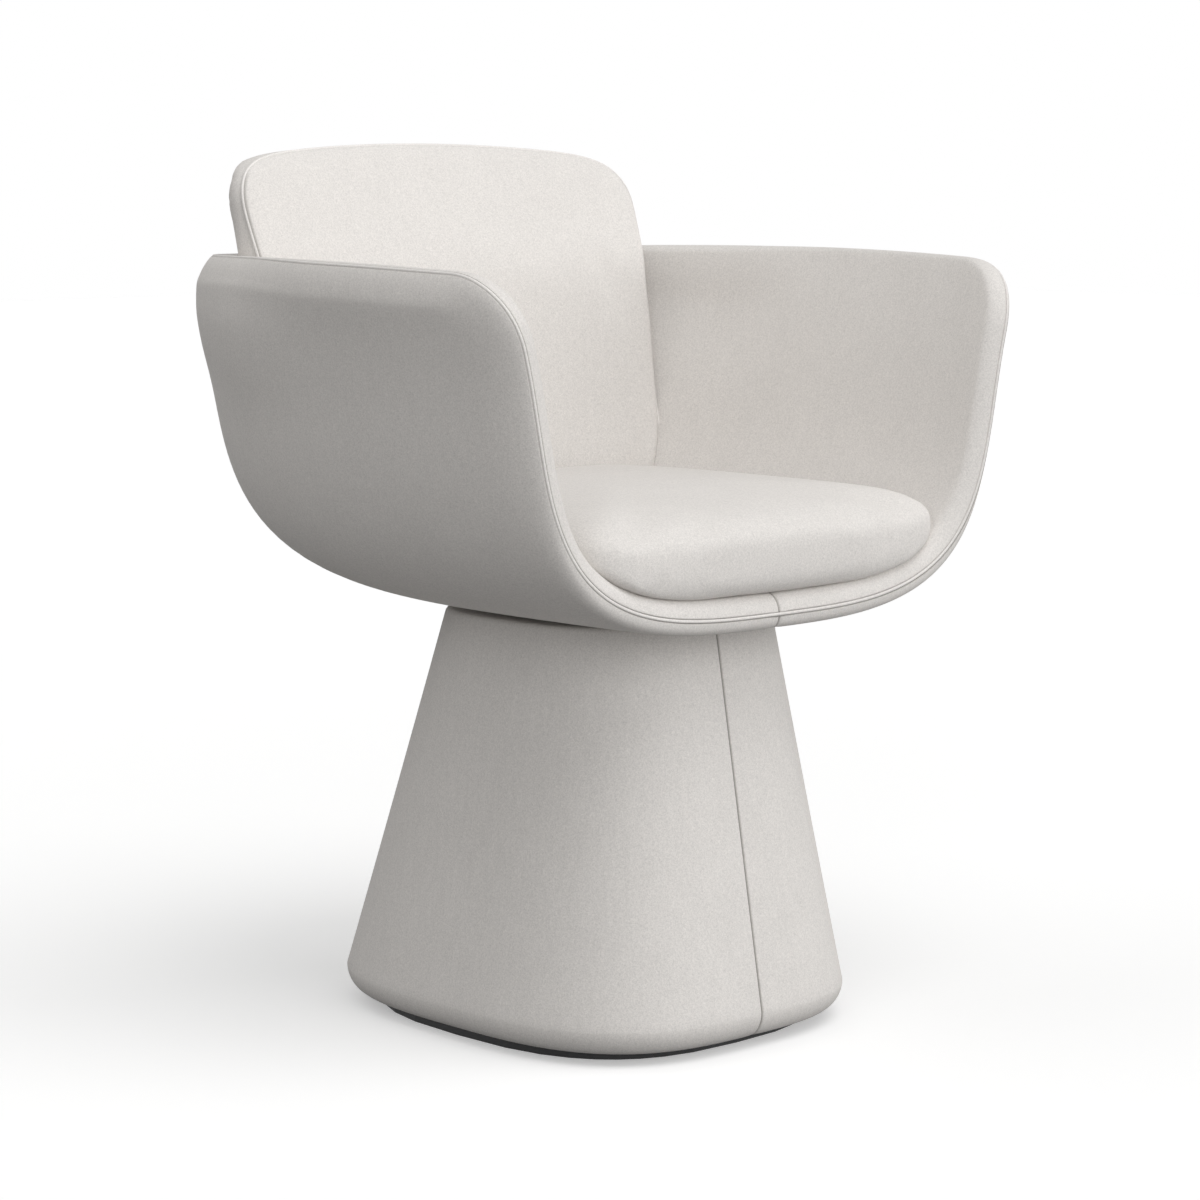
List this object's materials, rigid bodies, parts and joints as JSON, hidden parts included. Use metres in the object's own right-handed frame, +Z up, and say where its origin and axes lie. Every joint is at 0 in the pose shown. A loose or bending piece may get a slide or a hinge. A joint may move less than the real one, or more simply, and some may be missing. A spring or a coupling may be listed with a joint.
{
  "type": "upholstered pedestal armchair",
  "caption": "Upholstered tub armchair with a padded back and loose seat cushion, turning on a tapered, upholstered pedestal.",
  "frame": {"origin": "on the floor, on the swivel axis, at the underside of the base plate", "axes": "+Z up along the swivel axis, the sitter faces -Y, +X to the sitter's left"},
  "size_m": [0.6662, 0.5832, 0.7859],
  "materials": {
    "wool": "pale warm grey felted wool, matt, fine mottled grain",
    "piping": "welt cut from the same cloth",
    "plywood": "bare moulded or sawn plywood, hidden",
    "fibreboard": "bare bent fibreboard, hidden",
    "steel": "plain zinc-plated steel, hidden",
    "black_steel": "black powder coat",
    "nylon": "cage and balls of the swivel plate, hidden"
  },
  "bodies": {
    "pedestal": {"base_plate": "black_steel", "base_board": "plywood", "base_screw_1": "steel", "base_screw_2": "steel", "base_screw_3": "steel", "base_screw_4": "steel", "ballast_plate": "black_steel", "frame_post_front_left": "plywood", "frame_post_front_right": "plywood", "frame_post_rear_left": "plywood", "frame_post_rear_right": "plywood", "top_board": "plywood", "pedestal_drum": "fibreboard", "pedestal_cover_right": "wool", "pedestal_cover_left": "wool", "spacer_disc": "plywood", "lower_swivel_plate": "steel", "swivel_ball_ring": "nylon", "lower_plate_screw_1": "steel", "lower_plate_screw_2": "steel", "lower_plate_screw_3": "steel", "lower_plate_screw_4": "steel"},
    "seat": {"upper_swivel_plate": "steel", "upper_plate_screw_1": "steel", "upper_plate_screw_2": "steel", "upper_plate_screw_3": "steel", "upper_plate_screw_4": "steel", "pivot_pin": "steel", "pivot_washer": "steel", "pivot_nut": "steel", "tub_shell": "plywood", "tub_outer_cover_right": "wool", "tub_outer_cover_left": "wool", "tub_inner_cover_right": "wool", "tub_inner_cover_left": "wool", "rim_piping": "piping", "seat_cushion": "wool", "back_front_pad": "wool", "back_rear_pad": "wool", "back_board": "plywood", "back_piping": "piping", "back_bolt_right": "steel", "back_bolt_left": "steel"}
  },
  "joints": [
    {"name": "seat_swivel", "type": "hinge", "parent": "pedestal", "child": "seat", "pos_m": [0, 0, 0.3756], "axis": [0, 0, 1], "continuous": true}
  ]
}
